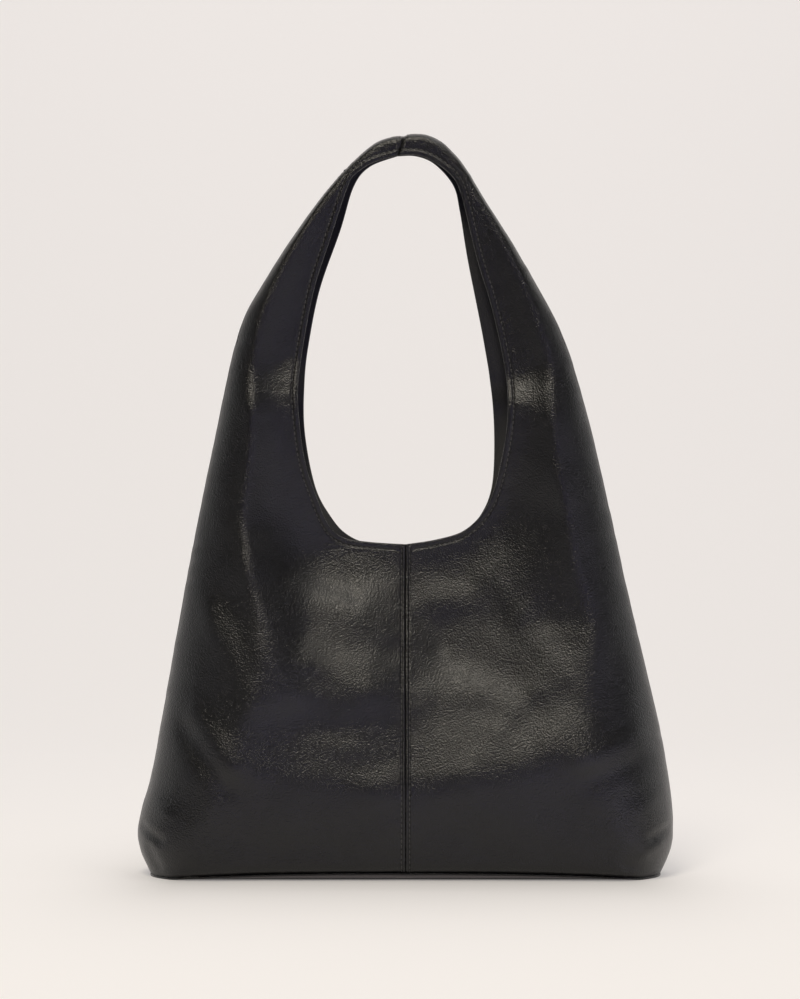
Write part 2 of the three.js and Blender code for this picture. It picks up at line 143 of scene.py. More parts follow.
def ripple(t, seed, wave):
    rng = np.random.default_rng(seed)
    knots = rng.uniform(-1, 1, 400)
    place = np.asarray(t) / wave + 50
    low = np.floor(place).astype(int)
    mix = smooth(place - low, 0, 1)
    return knots[low % 400] * (1 - mix) + knots[(low + 1) % 400] * mix


def clouds(x, z, wave, seed, turn=0.0):
    rng = np.random.default_rng(seed)
    knots = rng.uniform(-1, 1, (64, 64))
    u = (x * math.cos(turn) + z * math.sin(turn)) / wave + 20
    v = (z * math.cos(turn) - x * math.sin(turn)) / wave + 20
    i, j = np.floor(u).astype(int), np.floor(v).astype(int)
    a, b = smooth(u - i, 0, 1), smooth(v - j, 0, 1)
    low = knots[i % 64, j % 64] * (1 - a) + knots[(i + 1) % 64, j % 64] * a
    high = knots[i % 64, (j + 1) % 64] * (1 - a) + knots[(i + 1) % 64, (j + 1) % 64] * a
    return low * (1 - b) + high * b


sideLine = {hand: catmull(points) for hand, points in sideSeam.items()}
edgeLine = {key: catmull(points) for key, points in openingEdge.items()}
wholeSide = np.vstack([sideLine["left"], sideLine["right"][::-1][1:]])
wholeEdge = {
    face: np.vstack([edgeLine[face, "left"][::-1], edgeLine[face, "right"][1:]]) for face in ("front", "back")
}
# Half depth by height, and how far in from the side seam it is reached
depthCurve = catmull([(0, 54), (60, 61), (110, 61), (200, 50), (300, 39), (345, 35), (375, 28), (400, 26),
                      (480, 22), (560, 17)])
roundingCurve = catmull([(0, 34), (60, 60), (150, 96), (250, 100), (330, 60), (420, 30), (480, 16), (520, 11),
                         (560, 10)])

# Soft folds: from and to (x, z), half width, height outwards
folds = {
    "front": [
        ((-149, 202), (-114, 131), 11, 2.2), ((-156, 122), (-126, 85), 8, 2.0),
        ((-166, 112), (-132, 68), 7, -2.0), ((176, 108), (129, 89), 9, 2.0),
        ((179, 89), (138, 75), 8, -1.8), ((150, 140), (138, 128), 14, -1.6),
        ((-106, 240), (-93, 140), 18, 5.0), ((-57, 200), (-12, 212), 13, 1.6),
        ((-72, 136), (-27, 132), 12, 1.6), ((-64, 100), (-42, 98), 10, 1.2),
        ((26, 205), (48, 205), 12, 1.6), ((86, 190), (116, 152), 13, 2.0),
        ((18, 137), (71, 137), 12, 1.8),
        ((33, 175), (93, 132), 14, -2.2), ((-45, 235), (-38, 206), 4, -0.9),
        ((-72, 180), (-16, 168), 13, -2.6), ((-80, 214), (-34, 196), 10, 1.8),
        ((-70, 160), (-30, 140), 8, 1.2), ((60, 222), (84, 200), 10, 1.4),
        ((14, 190), (34, 160), 9, -1.4), ((96, 140), (70, 112), 9, 1.4),
    ],
    "corners": [
        ((-197, 39), (-181, 29), 3.5, -3.4), ((-190, 23), (-183, 9), 4, -2.6),
        ((-186, 10), (-158, 7), 6, -2.2),
        ((-192, 62), (-176, 50), 7, 1.6), ((197, 38), (182, 31), 3.5, -2.8), ((190, 12), (164, 9), 6, -2.0),
        ((190, 66), (172, 52), 8, 1.6), ((188, 26), (176, 20), 4, 1.8),
    ],
    "back": [
        ((-150, 190), (-110, 120), 12, 2.2), ((160, 180), (118, 128), 12, 2.0),
        ((-60, 170), (20, 150), 16, 1.8),
        ((30, 120), (90, 160), 14, -1.8), ((-165, 100), (-120, 80), 9, -1.8), ((170, 90), (130, 72), 9, 1.8),
    ],
}
foldStrength = 0.8


def foldHeight(face, x, z):
    total = np.zeros_like(x)
    for (x0, z0), (x1, z1), width, height in folds[face]:
        dx, dz = x1 - x0, z1 - z0
        t = np.clip(((x - x0) * dx + (z - z0) * dz) / (dx * dx + dz * dz), 0, 1)
        total += foldStrength * height * bump(np.hypot(x - x0 - t * dx, z - z0 - t * dz), 0, width)
    return total


# The front and back are drawn in towards the mouth
# Slope at the foot, then how much is added, from and to which height
slopes = {"foot": 0.43, "left": (0.7, 80, 262), "right": (0.75, 185, 300), "across": 30}
# Depth at the edge of the opening: how much it changes, from and to which height
edgeDepths = {"mouth": (12.6, 240, 342), "fold": (-8.2, 343, 382), "handle": (4, 410, 520)}
drawing = {"ease": 60, "softness": 5, "wave": 38, "waveHeight": 8, "seed": 11}


def steepness(x, z):
    left, right = [
        slopes["foot"] + slopes[hand][0] * smooth(z, *slopes[hand][1:]) for hand in ("left", "right")]
    side = smooth(x, -slopes["across"], slopes["across"])
    return left * (1 - side) + right * side


# Softly uneven leather: wave length, height, seed, turn of the pattern
unevenness = [(46, 1.2, 3, 0.5), (24, 0.75, 7, 1.1), (12, 0.2, 9, 0.8)]


def softLower(a, b, softness):
    share = np.maximum(softness - np.abs(a - b), 0) / softness
    return np.minimum(a, b) - share * share * softness / 4


def halfDepth(face, x, z, hand=None):
    # given a hand, only that half of the outlines is measured, and the belly is rounder up the handle
    fromSide = distanceTo(sideLine[hand] if hand else wholeSide, x, z)
    reach = np.clip(fromSide / np.interp(z, roundingCurve[:, 0], roundingCurve[:, 1]), 0, 1)
    power = 2 + 0.8 * smooth(z, 380, 500)
    belly = np.interp(z, depthCurve[:, 0], depthCurve[:, 1]) * (1 - (1 - reach) ** power) ** (1 / power)
    fromEdge = distanceTo(edgeLine[face, hand] if hand else wholeEdge[face], x, z)
    wavy = z + drawing["waveHeight"] * clouds(x, z, drawing["wave"], drawing["seed"])
    edgeDepth = bag["snapDepth"]
    for part, height in (("mouth", wavy), ("fold", wavy), ("handle", z)):
        change, low, high = edgeDepths[part]
        edgeDepth = edgeDepth + change * smooth(height, low, high)
    drawnIn = edgeDepth + steepness(x, z) * (np.hypot(fromEdge, drawing["ease"]) - drawing["ease"])
    depth = softLower(belly, drawnIn, drawing["softness"])
    uneven = foldHeight(face, x, z)
    for wave, height, seed, turn in unevenness:
        uneven += height * clouds(x, z, wave, seed, turn)
    depth += uneven * smooth(fromSide, 0, 25) * smooth(fromEdge, 3, 22)
    depth += foldHeight("corners", x, z) * smooth(fromSide, 0, 5)
    under = np.clip(bag["rollUnder"] - z, 0, bag["rollUnder"])
    rolled = bag["rollUnder"] - np.sqrt(bag["rollUnder"] ** 2 - under ** 2)
    return np.maximum(depth - smooth(fromSide, 0, 12) * rolled, 0)


# The edge of the base lifts off the floor between the corners
footLift = {"halfLength": 178, "height": 4.4, "depths": (41, 50), "heights": (6, 60)}


def baseLift(x, y, z):
    middle = np.clip(1 - np.abs(x / footLift["halfLength"]) ** 2.6, 0, 1)
    outer = smooth(np.abs(y), *footLift["depths"])
    return footLift["height"] * middle * outer * (1 - smooth(z, *footLift["heights"]))


# Where the rows and columns of a panel's mesh lie
rowStep = 2.2
edgePlaces = [0, 0.04, 0.15, 0.33, 0.56, 0.8, 1.2, 1.7, 2.2, 2.7, 3.1, 3.6, 4.0, 4.3, 4.6, 5.0, 5.6, 6.6, 8]
sidePlaces = [0, 0.35, 0.7, 1.1, 1.6, 2.1, 2.7, 3.4, 4.3, 5.5, 7]
middleColumns = 74


def quarterRows(face, hand):
    side, edge = sideLine[hand], edgeLine[face, hand]
    mouth = bag["mouth"][face]
    edgeLength = lengthsAlong(edge)[-1]
    fold = shareAtHeight(edge, np.array([bag["foldBottom"], bag["foldTop"]]))
    centre = np.linspace(bag["foot"], mouth, int(mouth / rowStep))
    nearMouth = np.array([0.4, 1, 2, 3.4]) / edgeLength
    upToFold = np.linspace(nearMouth[-1], fold[0], int((fold[0] - nearMouth[-1]) * edgeLength / rowStep))[1:]
    rim = np.concatenate([nearMouth, upToFold])
    foldHeights = np.linspace(bag["foldBottom"], bag["foldTop"], 34)[1:]
    above = np.linspace(fold[1], 1, int((1 - fold[1]) * edgeLength / rowStep))[1:]

    inner = np.vstack([
        np.stack([np.zeros_like(centre), centre], -1), alongLine(edge, rim),
        alongLine(edge, shareAtHeight(edge, foldHeights)), alongLine(edge, above)])
    lower = np.concatenate([centre - bag["foot"], mouth - bag["foot"] + rim * edgeLength])
    sideFold = shareAtHeight(side, np.array([bag["foldBottom"], bag["foldTop"]]))
    start = shareAtHeight(side, bag["foot"] + 0.8)
    lowerShares = start + (sideFold[0] - start) * (lower / lower[-1]) ** 0.93
    aboveShares = np.interp(above, [fold[1], 1], [sideFold[1], 1])
    outer = np.vstack([
        alongLine(side, lowerShares), alongLine(side, shareAtHeight(side, foldHeights)),
        alongLine(side, aboveShares)])
    return inner, outer


def quarterGrid(face, hand):
    inner, outer = quarterRows(face, hand)
    turn = -1 if face == "front" else 1
    fine = np.linspace(0, 1, 240) ** 2
    flatRows = outer[:, None] + (inner - outer)[:, None] * fine[None, :, None]
    depth = halfDepth(face, flatRows[..., 0], flatRows[..., 1], hand)
    depth[:, 0] = 0
    toEdge = distanceTo(edgeLine[face, hand], flatRows[..., 0], flatRows[..., 1])
    toSeam = np.where(flatRows[..., 1] < bag["mouth"][face], np.abs(flatRows[..., 0]), 1e3)
    toRim = np.minimum(toEdge, toSeam)
    grid, places = [], []
    for row in range(len(inner)):
        line = np.stack([flatRows[row, :, 0], turn * depth[row], flatRows[row, :, 1]], -1)
        lengths = lengthsAlong(line)
        away = np.maximum.accumulate(toRim[row][::-1] + np.linspace(0, 1e-3, 240))
        nearEdge = np.interp(edgePlaces, away, fine[::-1])
        nearEdge[0] = 1
        edgeArc = np.interp(nearEdge, fine, lengths)
        sideArc = np.array(sidePlaces)
        room = edgeArc[-1] / 2
        if sideArc[-1] > room:
            sideArc = sideArc * room / sideArc[-1]
        between = np.linspace(sideArc[-1], edgeArc[-1], middleColumns + 2)[1:-1]
        arcs = np.concatenate([sideArc, between, edgeArc[::-1]])
        grid.append(np.stack([np.interp(arcs, lengths, line[:, k]) for k in range(3)], -1))
        places.append(arcs)
    grid, places = np.array(grid), np.array(places)
    grid[..., 1] = turn * halfDepth(face, grid[..., 0], grid[..., 2], hand)
    grid[:, 0, 1] = 0
    grid[..., 2] += baseLift(grid[..., 0], grid[..., 1], grid[..., 2])

    across = np.gradient(grid, axis=1)
    along = np.gradient(grid, axis=0)
    normals = np.cross(along, across)
    normals[:, 0, 1] = 0
    onSeam = np.abs(inner[:, 0]) < 1e-6
    normals[onSeam, -1, 0] = 0
    normals /= np.linalg.norm(normals, axis=-1)[..., None]
    wanted = np.array([0, turn, 0])
    if (normals[40, -20] * wanted).sum() < 0:
        normals = -normals
    rowsAlong = lengthsAlong(outer)
    top = np.linalg.norm(grid - grid[-1:], axis=-1)
    return {
        "points": grid,
        "normals": normals,
        "fromSide": places,
        "toEdge": distanceTo(edgeLine[face, hand], grid[..., 0], grid[..., 2]),
        "toCentre": np.where(grid[..., 2] < bag["mouth"][face] + 6, np.abs(grid[..., 0]), 1e3),
        "toTop": top,
        "rowsAlong": rowsAlong,
        "seed": {"front": 0, "back": 20}[face] + {"left": 1, "right": 2}[hand],
    }


def rimDrop(distance, radius):
    left = np.clip(radius - distance, 0, radius)
    return radius - np.sqrt(radius * radius - left * left)


# Distance of each row of stitches from its seam or edge
stitchRow = {"centre": 2.9, "edge": 4.3, "side": 4.3, "top": 3.0}
# At a seam: depth and width of the groove, of the ridge beside it and of the dip under the stitches
seamShape = {
    "rim": 0.8,
    "side": {"groove": (1.25, 1.2), "ridge": (0.45, 2.2, 1.2), "dip": (0.3, 0.7)},
    "centre": {"ridge": (0.35, 1.5, 0.8), "dip": (0.75, 0.55)},
    "edge": {"ridge": (0.25, 2.2, 1.2), "dip": (0.65, 0.6)},
    "top": {"groove": (0.5, 0.7), "ridge": (0.25, 1.7, 0.8), "dip": (0.5, 0.6)},
}
# Puckers: height, length of a wave, distance from the seam, width
puckers = {"side": (0.30, 7, 8, 7), "edge": (0.22, 5, 8, 6), "centre": (0.25, 6, 7, 5)}


def seamProfile(name, distance):
    sizes = seamShape[name]
    ridge, ridgePlace, ridgeWidth = sizes["ridge"]
    dip, dipWidth = sizes["dip"]
    if "groove" in sizes:
        groove, grooveWidth = sizes["groove"]
        drop = groove * bump(distance, 0, grooveWidth)
    else:
        drop = rimDrop(distance, seamShape["rim"])
    drop = drop - ridge * bump(distance, ridgePlace, ridgeWidth)
    return drop, dip * bump(distance, stitchRow[name], dipWidth)


def pucker(name, run, distance, seed):
    height, wave, place, width = puckers[name]
    return height * ripple(run, seed, wave) * bump(distance, place, width)


def leatherOffset(shape):
    # how far the outside of the leather lies under the plain form
    run = shape["rowsAlong"][:, None]
    height = shape["points"][..., 2]
    onHandle = smooth(height, 380, 430)
    distances = {
        "side": shape["fromSide"],
        "edge": shape["toEdge"],
        "centre": shape["toCentre"],
        "top": shape["toTop"],
    }
    drop = 0
    for name, distance in distances.items():
        profile, dip = seamProfile(name, distance)
        drop = drop + profile + dip * (onHandle if name == "side" else 1)
    seed = shape["seed"]
    drop += pucker("side", run, distances["side"], seed)
    drop += pucker("edge", run, distances["edge"], seed + 40)
    drop += pucker("centre", height, distances["centre"], seed + 60)
    return drop


def link(name, mesh):
    piece = bpy.data.objects.new(name, mesh)
    scene.collection.objects.link(piece)
    return piece


def keepRest(mesh):
    rest = mesh.attributes.new("rest", "FLOAT_VECTOR", "POINT")
    values = np.empty(len(mesh.vertices) * 3)
    mesh.vertices.foreach_get("co", values)
    rest.data.foreach_set("vector", values)


def meshFrom(name, points, faces):
    mesh = bpy.data.meshes.new(name)
    mesh.from_pydata([tuple(p) for p in np.asarray(points) * mm], [], faces)
    build = bmesh.new()
    build.from_mesh(mesh)
    bmesh.ops.remove_doubles(build, verts=build.verts, dist=2e-6)
    bmesh.ops.recalc_face_normals(build, faces=build.faces)
    build.to_mesh(mesh)
    build.free()
    for polygon in mesh.polygons:
        polygon.use_smooth = True
    keepRest(mesh)
    return link(name, mesh)


def solidSheet(name, outside, inside, keep=None):
    # two grids of points, the cells to keep, and walls round every border
    rows, columns = outside.shape[:2]
    if keep is None:
        keep = np.ones((rows - 1, columns - 1), bool)
    number = np.arange(rows * columns).reshape(rows, columns)
    other = number + rows * columns
    padded = np.pad(keep, 1)
    faces = []
    for r, c in np.argwhere(keep):
        a, b, d, e = (r, c), (r, c + 1), (r + 1, c + 1), (r + 1, c)
        corners = [a, b, d, e]
        faces.append([int(number[p]) for p in corners])
        faces.append([int(other[p]) for p in reversed(corners)])
        beside = [padded[r, c + 1], padded[r + 1, c + 2], padded[r + 2, c + 1], padded[r + 1, c]]
        for k in range(4):
            if not beside[k]:
                p, q = corners[k], corners[(k + 1) % 4]
                faces.append([int(number[q]), int(number[p]), int(other[p]), int(other[q])])
    return meshFrom(name, np.vstack([outside.reshape(-1, 3), inside.reshape(-1, 3)]), faces)


class Wire:
    def __init__(self, tree, socket=None):
        self.tree = tree
        self.socket = socket

    def node(self, kind, inputs=None, output=0, **settings):
        made = self.tree.nodes.new(kind)
        for key, value in settings.items():
            setattr(made, key, value)
        for key, value in (inputs or {}).items():
            if isinstance(value, Wire):
                self.tree.links.new(value.socket, made.inputs[key])
            else:
                made.inputs[key].default_value = value
        return Wire(self.tree, made.outputs[output])

    def maths(self, operation, first, second=0.0):
        return self.node("ShaderNodeMath", {0: first, 1: second}, operation=operation)

    def __add__(self, other):
        return self.maths("ADD", self, other)

    def __sub__(self, other):
        return self.maths("SUBTRACT", self, other)

    def __rsub__(self, other):
        return self.maths("SUBTRACT", other, self)

    def __mul__(self, other):
        return self.maths("MULTIPLY", self, other)

    def __pow__(self, other):
        return self.maths("POWER", self, other)

    __rmul__ = __mul__


def newMaterial(name, colour, roughness, **settings):
    material = bpy.data.materials.new(name)
    material.use_nodes = True
    shader = material.node_tree.nodes["Principled BSDF"]
    shader.inputs["Base Color"].default_value = (*colour, 1)
    shader.inputs["Roughness"].default_value = roughness
    for key, value in settings.items():
        shader.inputs[key.replace("_", " ")].default_value = value
    return material, shader, Wire(material.node_tree)


def connect(wire, socket):
    wire.tree.links.new(wire.socket, socket)


def grainedLeather(name, colour, roughness, grain, depth):
    material, shader, wire = newMaterial(name, colour, roughness)
    place = wire.node("ShaderNodeAttribute", output=1, attribute_name="rest")
    cells = wire.node("ShaderNodeTexVoronoi", {"Vector": place, "Scale": grain, "Randomness": 1.0},
                      feature="SMOOTH_F1")
    pores = wire.node("ShaderNodeTexNoise", {"Vector": place, "Scale": grain * 2.3, "Detail": 3.0})
    broad = wire.node("ShaderNodeTexNoise", {"Vector": place, "Scale": 14.0, "Detail": 4.0})
    creases = {"Vector": place, "Scale": 90.0, "Detail": 5.0, "Roughness": 0.6}
    middle = wire.node("ShaderNodeTexNoise", creases)
    height = cells * -1.0 + pores * 0.35 + middle * 0.3
    bumped = wire.node("ShaderNodeBump", {"Height": height, "Strength": 1.0, "Distance": depth})
    connect(bumped, shader.inputs["Normal"])
    connect(broad * 0.10 + cells * 0.10 + (roughness - 0.08), shader.inputs["Roughness"])
    return material


def woven(name, colour, roughness, threads):
    material, shader, wire = newMaterial(name, colour, roughness)
    place = wire.node("ShaderNodeAttribute", output=1, attribute_name="rest")
    warp = wire.node("ShaderNodeTexWave", {"Vector": place, "Scale": threads}, bands_direction="X", output=1)
    weft = wire.node("ShaderNodeTexWave", {"Vector": place, "Scale": threads}, bands_direction="Z", output=1)
    bumped = wire.node("ShaderNodeBump", {"Height": warp * weft, "Strength": 0.5, "Distance": 0.0002})
    connect(bumped, shader.inputs["Normal"])
    return material


materials = {
    "outer_leather": grainedLeather("black nappa", (0.003, 0.0028, 0.0027), 0.32, 950, 0.0004),
    "facing_leather": grainedLeather("facing leather", (0.005, 0.005, 0.005), 0.5, 900, 0.0002),
    "lining_cloth": woven("lining twill", (0.022, 0.021, 0.021), 0.75, 900),
    "base_board": newMaterial("grey board", (0.16, 0.15, 0.14), 0.85)[0],
    "zip_tape": woven("zip tape", (0.014, 0.014, 0.015), 0.7, 1100),
    "metal": newMaterial("dark nickel", (0.32, 0.31, 0.30), 0.28, Metallic=1.0)[0],
    # thread colour: partly the thread's own dark grey, partly lightened as a painted highlight so the
    # stitches read bright
    "thread": newMaterial("glossy thread lightened as painted highlight", (0.045, 0.043, 0.041), 0.3)[0],
}


def finish(piece, slotName, *nodes, body=None):
    piece.data.materials.clear()
    piece.data.materials.append(materials[slotName])
    if nodes:
        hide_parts(*nodes)
    if body:
        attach(piece, body)


def bendWithHandle(piece):
    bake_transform(piece)


print("materials ready")

quarters = [(face, hand) for face in ("front", "back") for hand in ("left", "right")]
shapes = {key: quarterGrid(*key) for key in quarters}
outsides = {}
for face, hand in quarters:
    shape = shapes[face, hand]
    offset = leatherOffset(shape)
    under = np.maximum(rimDrop(shape["toEdge"], 0.8), rimDrop(shape["toCentre"], 0.8))
    outside = shape["points"] - shape["normals"] * offset[..., None]
    inside = shape["points"] - shape["normals"] * (bag["leather"] - under)[..., None]
    if face == "front":
        outside[:, 0, 1] = np.minimum(outside[:, 0, 1], 0)
    outsides[face, hand] = outside
    piece = solidSheet(f"{face}_{hand}_leather", outside, inside)
    stem = f"{face}_{hand}_panel"
    finish(piece, "outer_leather", stem, stem + "_fold", stem + "_handle")
    bendWithHandle(piece)
    print("panel", face, hand, len(piece.data.polygons), "faces", outside.shape)

facing = {"depth": 1.75, "inset": 3.2, "thickness": 1.2, "from": 197, "atSnap": 4.2, "flatRadius": (12, 32)}
for face, hand in quarters:
    shape = shapes[face, hand]
    first = int(np.argmax(shape["points"][:, -1, 2] > facing["from"]))
    edge = shape["toEdge"][first:]
    away = facing["depth"] + (facing["inset"] - facing["depth"]) * smooth(edge, 2, 14)
    rim = rimDrop(edge, 0.6)
    points, normals = shape["points"][first:], shape["normals"][first:]
    outside = points - normals * (away + rim)[..., None]
    inside = points - normals * (away + facing["thickness"] - rim)[..., None]
    fromSnap = np.hypot(points[..., 0], points[..., 2] - bag["snapHeight"])
    flat = 1 - smooth(fromSnap, *facing["flatRadius"])
    for layer, depth in ((outside, facing["atSnap"]), (inside, facing["atSnap"] - facing["thickness"])):
        layer[..., 1] += flat * ((-depth if face == "front" else depth) - layer[..., 1])
    piece = solidSheet(f"{face}_{hand}_facing_leather", outside, inside)
    stem = f"{face}_{hand}_facing"
    finish(piece, "facing_leather", stem, stem + "_fold", stem + "_handle")
    bendWithHandle(piece)
print("facings made")

stitch = {
    "pitch": 4.0,
    # place along the stitch, radius, lift above the leather
    "rings": [(-1.45, 0.14, -0.30), (-1.25, 0.34, -0.05), (-0.8, 0.46, 0.16), (0, 0.5, 0.24),
              (0.8, 0.46, 0.16), (1.25, 0.34, -0.05), (1.45, 0.14, -0.30)],
    "sides": 6,
    "flatness": 0.75,
}


def between(grid, r, place):
    low = np.clip(np.floor(place).astype(int), 0, grid.shape[1] - 2)
    mix = (place - low)[:, None]
    return grid[r, low] * (1 - mix) + grid[r, low + 1] * mix


def traceRows(outside, normals, field, value, rows, fromEnd):
    columns = outside.shape[1]
    places = []
    for r in rows:
        line = np.maximum.accumulate((field[r][::-1] if fromEnd else field[r])[:60])
        place = np.interp(value, line, np.arange(len(line)))
        places.append(columns - 1 - place if fromEnd else place)
    places = np.array(places)
    return between(outside, rows, places), between(normals, rows, places)


def sewAlong(points, normals, start=0.5):
    lengths = lengthsAlong(points)
    count = int(lengths[-1] / stitch["pitch"])
    wanted = (np.arange(count) + start) * lengths[-1] / count
    wanted = wanted[wanted < lengths[-1] - 1.2]
    middle, ahead, behind = [
        np.stack([np.interp(wanted + shift, lengths, points[:, k]) for k in range(3)], -1)
        for shift in (0, 0.6, -0.6)]
    up = np.stack([np.interp(wanted, lengths, normals[:, k]) for k in range(3)], -1)
    forward = ahead - behind
    forward /= np.linalg.norm(forward, axis=1)[:, None]
    up -= (up * forward).sum(1)[:, None] * forward
    up /= np.linalg.norm(up, axis=1)[:, None]
    return middle, forward, up, np.cross(forward, up)


def threadPiece(name, seams):
    sides, rings = stitch["sides"], stitch["rings"]
    points, faces = [], []
    for middle, forward, up, across in seams:
        for k in range(len(middle)):
            base = len(points)
            for along, radius, lift in rings:
                for side in range(sides):
                    angle = 2 * math.pi * side / sides
                    points.append(middle[k] + forward[k] * along + across[k] * radius * math.cos(angle)
                                  + up[k] * (lift + radius * stitch["flatness"] * math.sin(angle)))
            for ring in range(len(rings) - 1):
                for side in range(sides):
                    a, b = base + ring * sides + side, base + ring * sides + (side + 1) % sides
                    faces.append((a, b, b + sides, a + sides))
            faces.append(tuple(base + side for side in reversed(range(sides))))
            faces.append(tuple(base + (len(rings) - 1) * sides + side for side in range(sides)))
    piece = meshFrom(name, points, faces)
    finish(piece, "thread")
    bendWithHandle(piece)


for face, hand in quarters:
    shape, outside = shapes[face, hand], outsides[face, hand]
    normals = shape["normals"]
    rimHeights = shape["points"][:, -1, 2]
    onSeam = shape["toCentre"][:, -1] < 0.01
    centreRows = np.flatnonzero(onSeam & (rimHeights > 2.5))[:-1]
    edgeRows = np.flatnonzero(~onSeam)[1:-1]
    sideRows = np.flatnonzero(shape["points"][:, 0, 2] > 395)[:-1]
    seams = [
        sewAlong(*traceRows(outside, normals, shape["toCentre"], stitchRow["centre"], centreRows, True)),
        sewAlong(*traceRows(outside, normals, shape["toEdge"], stitchRow["edge"], edgeRows, True)),
        sewAlong(*traceRows(outside, normals, shape["fromSide"], stitchRow["side"], sideRows, False)),
    ]
    columns = np.arange(4, outside.shape[1] - 14)
    turned = [grid.swapaxes(0, 1) for grid in (outside, normals)]
    seams.append(sewAlong(*traceRows(*turned, shape["toTop"].T, stitchRow["top"], columns, True)))
    threadPiece(f"{face}_{hand}_stitches", seams)
print("stitches sewn")

base = {"halfLength": 190.6, "inset": 0.3, "columns": 130, "rows": 44, "thickness": 1.6}
baseLining = {"halfLength": 182, "inset": 5.0, "height": 4.4, "thickness": 0.8}


def floorSheet(name, halfLength, inset, height, thickness, bulge):
    x = halfLength * np.sin(np.linspace(-1, 1, base["columns"]) * math.pi / 2)
    foot = {face: halfDepth(face, x, np.full_like(x, 2.0)) for face in ("front", "back")}
    foot = {face: np.maximum(depth - inset, 0.05) for face, depth in foot.items()}
    share = np.linspace(0, 1, base["rows"])[:, None]
    y = -foot["front"] * (1 - share) + foot["back"] * share
    flat = np.broadcast_to(x, y.shape)
    z = height + bulge * baseLift(flat, y, np.zeros_like(y))
    top = np.stack([flat, y, z + thickness], -1)
    bottom = np.stack([flat, y, z], -1)
    return solidSheet(name, top, bottom)


baseSheet = floorSheet("base_leather", base["halfLength"], base["inset"], 0, base["thickness"], 1)
finish(baseSheet, "outer_leather", "base_panel", body="root")
liningSheet = floorSheet("base_lining_cloth", baseLining["halfLength"], baseLining["inset"],
                         baseLining["height"], baseLining["thickness"], 0)
finish(liningSheet, "lining_cloth", "base_lining", body="root")

lining = {
    "inset": 9,
    "behindLeather": 10,
    "thickness": 0.8,
    "bottom": 5.6,
    "top": 196.8,
    "heights": [5.6, 30, 65, 105, 150, 181, 196.8],
    "depths": [44.6, 48.5, 50.5, 45.5, 24.3, 9.8, 5.2],
    "slitHalf": (76, 5.2),
    "slitHeight": 165.5,
}
zipLean = math.radians(21.558)  # the zip lies in the slope of the back lining
zipPlace = Matrix.Translation((0, 16.15, lining["slitHeight"])) @ Matrix.Rotation(zipLean, 4, "X")


def liningDepth(x, z):
    fromSide = distanceTo(wholeSide, x, z) - lining["inset"]
    reach = np.clip(fromSide / np.interp(z, roundingCurve[:, 0], roundingCurve[:, 1]), 0, 1)
    deepest = np.interp(z, depthCurve[:, 0], depthCurve[:, 1]) - lining["behindLeather"]
    belly = deepest * np.sqrt(reach * (2 - reach))
    return np.maximum(softLower(belly, np.interp(z, lining["heights"], lining["depths"]), 3), 0)


def liningPiece(face, name, node, slit):
    turn = -1 if face == "front" else 1
    rows = np.unique(np.concatenate([np.linspace(lining["bottom"], lining["top"], 88), [160.7, 170.3]]))
    across = np.sin(np.linspace(-1, 1, 131) * math.pi / 2) * 0.5 + np.linspace(-0.5, 0.5, 131)
    left = np.interp(rows, sideLine["left"][:, 1], sideLine["left"][:, 0]) + lining["inset"]
    right = np.interp(rows, sideLine["right"][:, 1], sideLine["right"][:, 0]) - lining["inset"]
    share = (across[None] + 1) / 2
    x = left[:, None] * (1 - share) + right[:, None] * share
    z = np.broadcast_to(rows[:, None], x.shape)
    y = liningDepth(x, z)
    y[:, 0] = y[:, -1] = 0
    creases = 0.35 * ripple(x * 0.8 + z * 0.6, 5, 17) * smooth(y, 3, 12) * smooth(np.abs(x), 84, 98)
    outside = np.stack([x, turn * (y + creases), z], -1)
    inside = np.stack([x, turn * np.maximum(y + creases - lining["thickness"], -0.02), z], -1)
    inside[:, 0, 0] += 0.8
    inside[:, -1, 0] -= 0.8
    keep = np.ones((len(rows) - 1, x.shape[1] - 1), bool)
    if slit:
        middleX = (x[:-1, :-1] + x[1:, 1:]) / 2
        middleZ = (z[:-1, :-1] + z[1:, 1:]) / 2
        halfX, halfZ = lining["slitHalf"]
        keep = ~((np.abs(middleX) < halfX) & (np.abs(middleZ - lining["slitHeight"]) < halfZ))
    piece = solidSheet(name, outside, inside, keep)
    finish(piece, "lining_cloth", node, body="root")


liningPiece("front", "front_lining_cloth", "front_lining", False)
liningPiece("back", "back_lining_cloth", "back_lining", True)

pockets = {
    "slip": {"halfWidth": 66, "bottom": 84, "top": 178, "away": -2.4, "thickness": 0.8, "turn": -1},
    "zipped": {"halfWidth": 84, "bottom": 60, "top": 150, "away": 0.9, "thickness": 2.4, "turn": 1},
}


def pocketPiece(name, node, sizes):
    heights = np.linspace(sizes["bottom"], sizes["top"], 44)
    x, z = np.meshgrid(np.linspace(-1, 1, 61) * sizes["halfWidth"], heights)
    x = x * (1 - 0.06 * smooth(z, sizes["bottom"] + 14, sizes["bottom"]))
    y = np.interp(z, lining["heights"], lining["depths"]) + sizes["away"]
    outside = np.stack([x, sizes["turn"] * (y + sizes["thickness"]), z], -1)
    inside = np.stack([x, sizes["turn"] * y, z], -1)
    finish(solidSheet(name, outside, inside), "lining_cloth", node, body="root")


pocketPiece("slip_pocket_cloth", "slip_pocket", pockets["slip"])
pocketPiece("zipped_pocket_cloth", "pocket_bag", pockets["zipped"])
print("linings made")

def selectOnly(piece):
    bpy.ops.object.select_all(action="DESELECT")
    piece.select_set(True)
    bpy.context.view_layer.objects.active = piece


def addBlock(size, place, bevel):
    bpy.ops.object.select_all(action="DESELECT")
    bpy.ops.mesh.primitive_cube_add(size=1, location=[v * mm for v in place])
    block = bpy.context.object
    block.scale = [v * mm for v in size]
    bpy.ops.object.transform_apply(location=True, rotation=False, scale=True)
    softenEdges(block, bevel)
    return block


